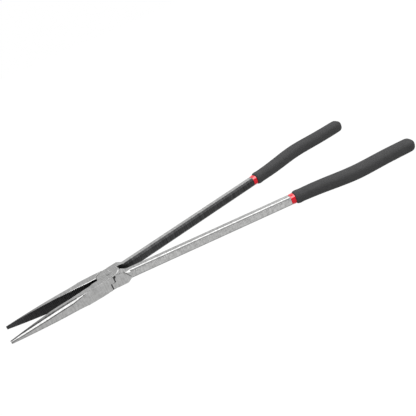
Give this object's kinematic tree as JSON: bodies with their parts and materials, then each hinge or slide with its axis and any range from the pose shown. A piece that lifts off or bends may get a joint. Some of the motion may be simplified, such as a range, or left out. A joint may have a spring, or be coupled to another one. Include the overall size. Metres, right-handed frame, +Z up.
{
  "type": "long-reach needle-nose pliers",
  "caption": "Extra-long straight needle-nose pliers: toothed tapering jaws and octagonal handles on a riveted lap joint, with red-banded black grips.",
  "frame": {"origin": "middle of the bounding box's underside, with the tool lying flat and half open", "axes": "+X from the jaw tips to the grips, +Y across the opening towards the upper half's handle, +Z up along the rivet"},
  "size_m": [0.601, 0.1938, 0.0186],
  "materials": {
    "ground_steel": "satin, ground across its length",
    "rivet_steel": "ground flush",
    "red_sleeve": "glossy",
    "black_grip": "matte, fine-grained"
  },
  "bodies": {
    "lower": {"lower_half": "ground_steel", "pivot_rivet": "rivet_steel", "lower_inner_sleeve": "red_sleeve", "lower_grip": "black_grip"},
    "upper": {"upper_half": "ground_steel", "upper_inner_sleeve": "red_sleeve", "upper_grip": "black_grip"}
  },
  "joints": [
    {"name": "rivet_hinge", "type": "hinge", "parent": "lower", "child": "upper", "pos_m": [-0.15393, 0, 0.0093], "axis": [0, 0, 1], "range_deg": [-15.8, 26]}
  ]
}
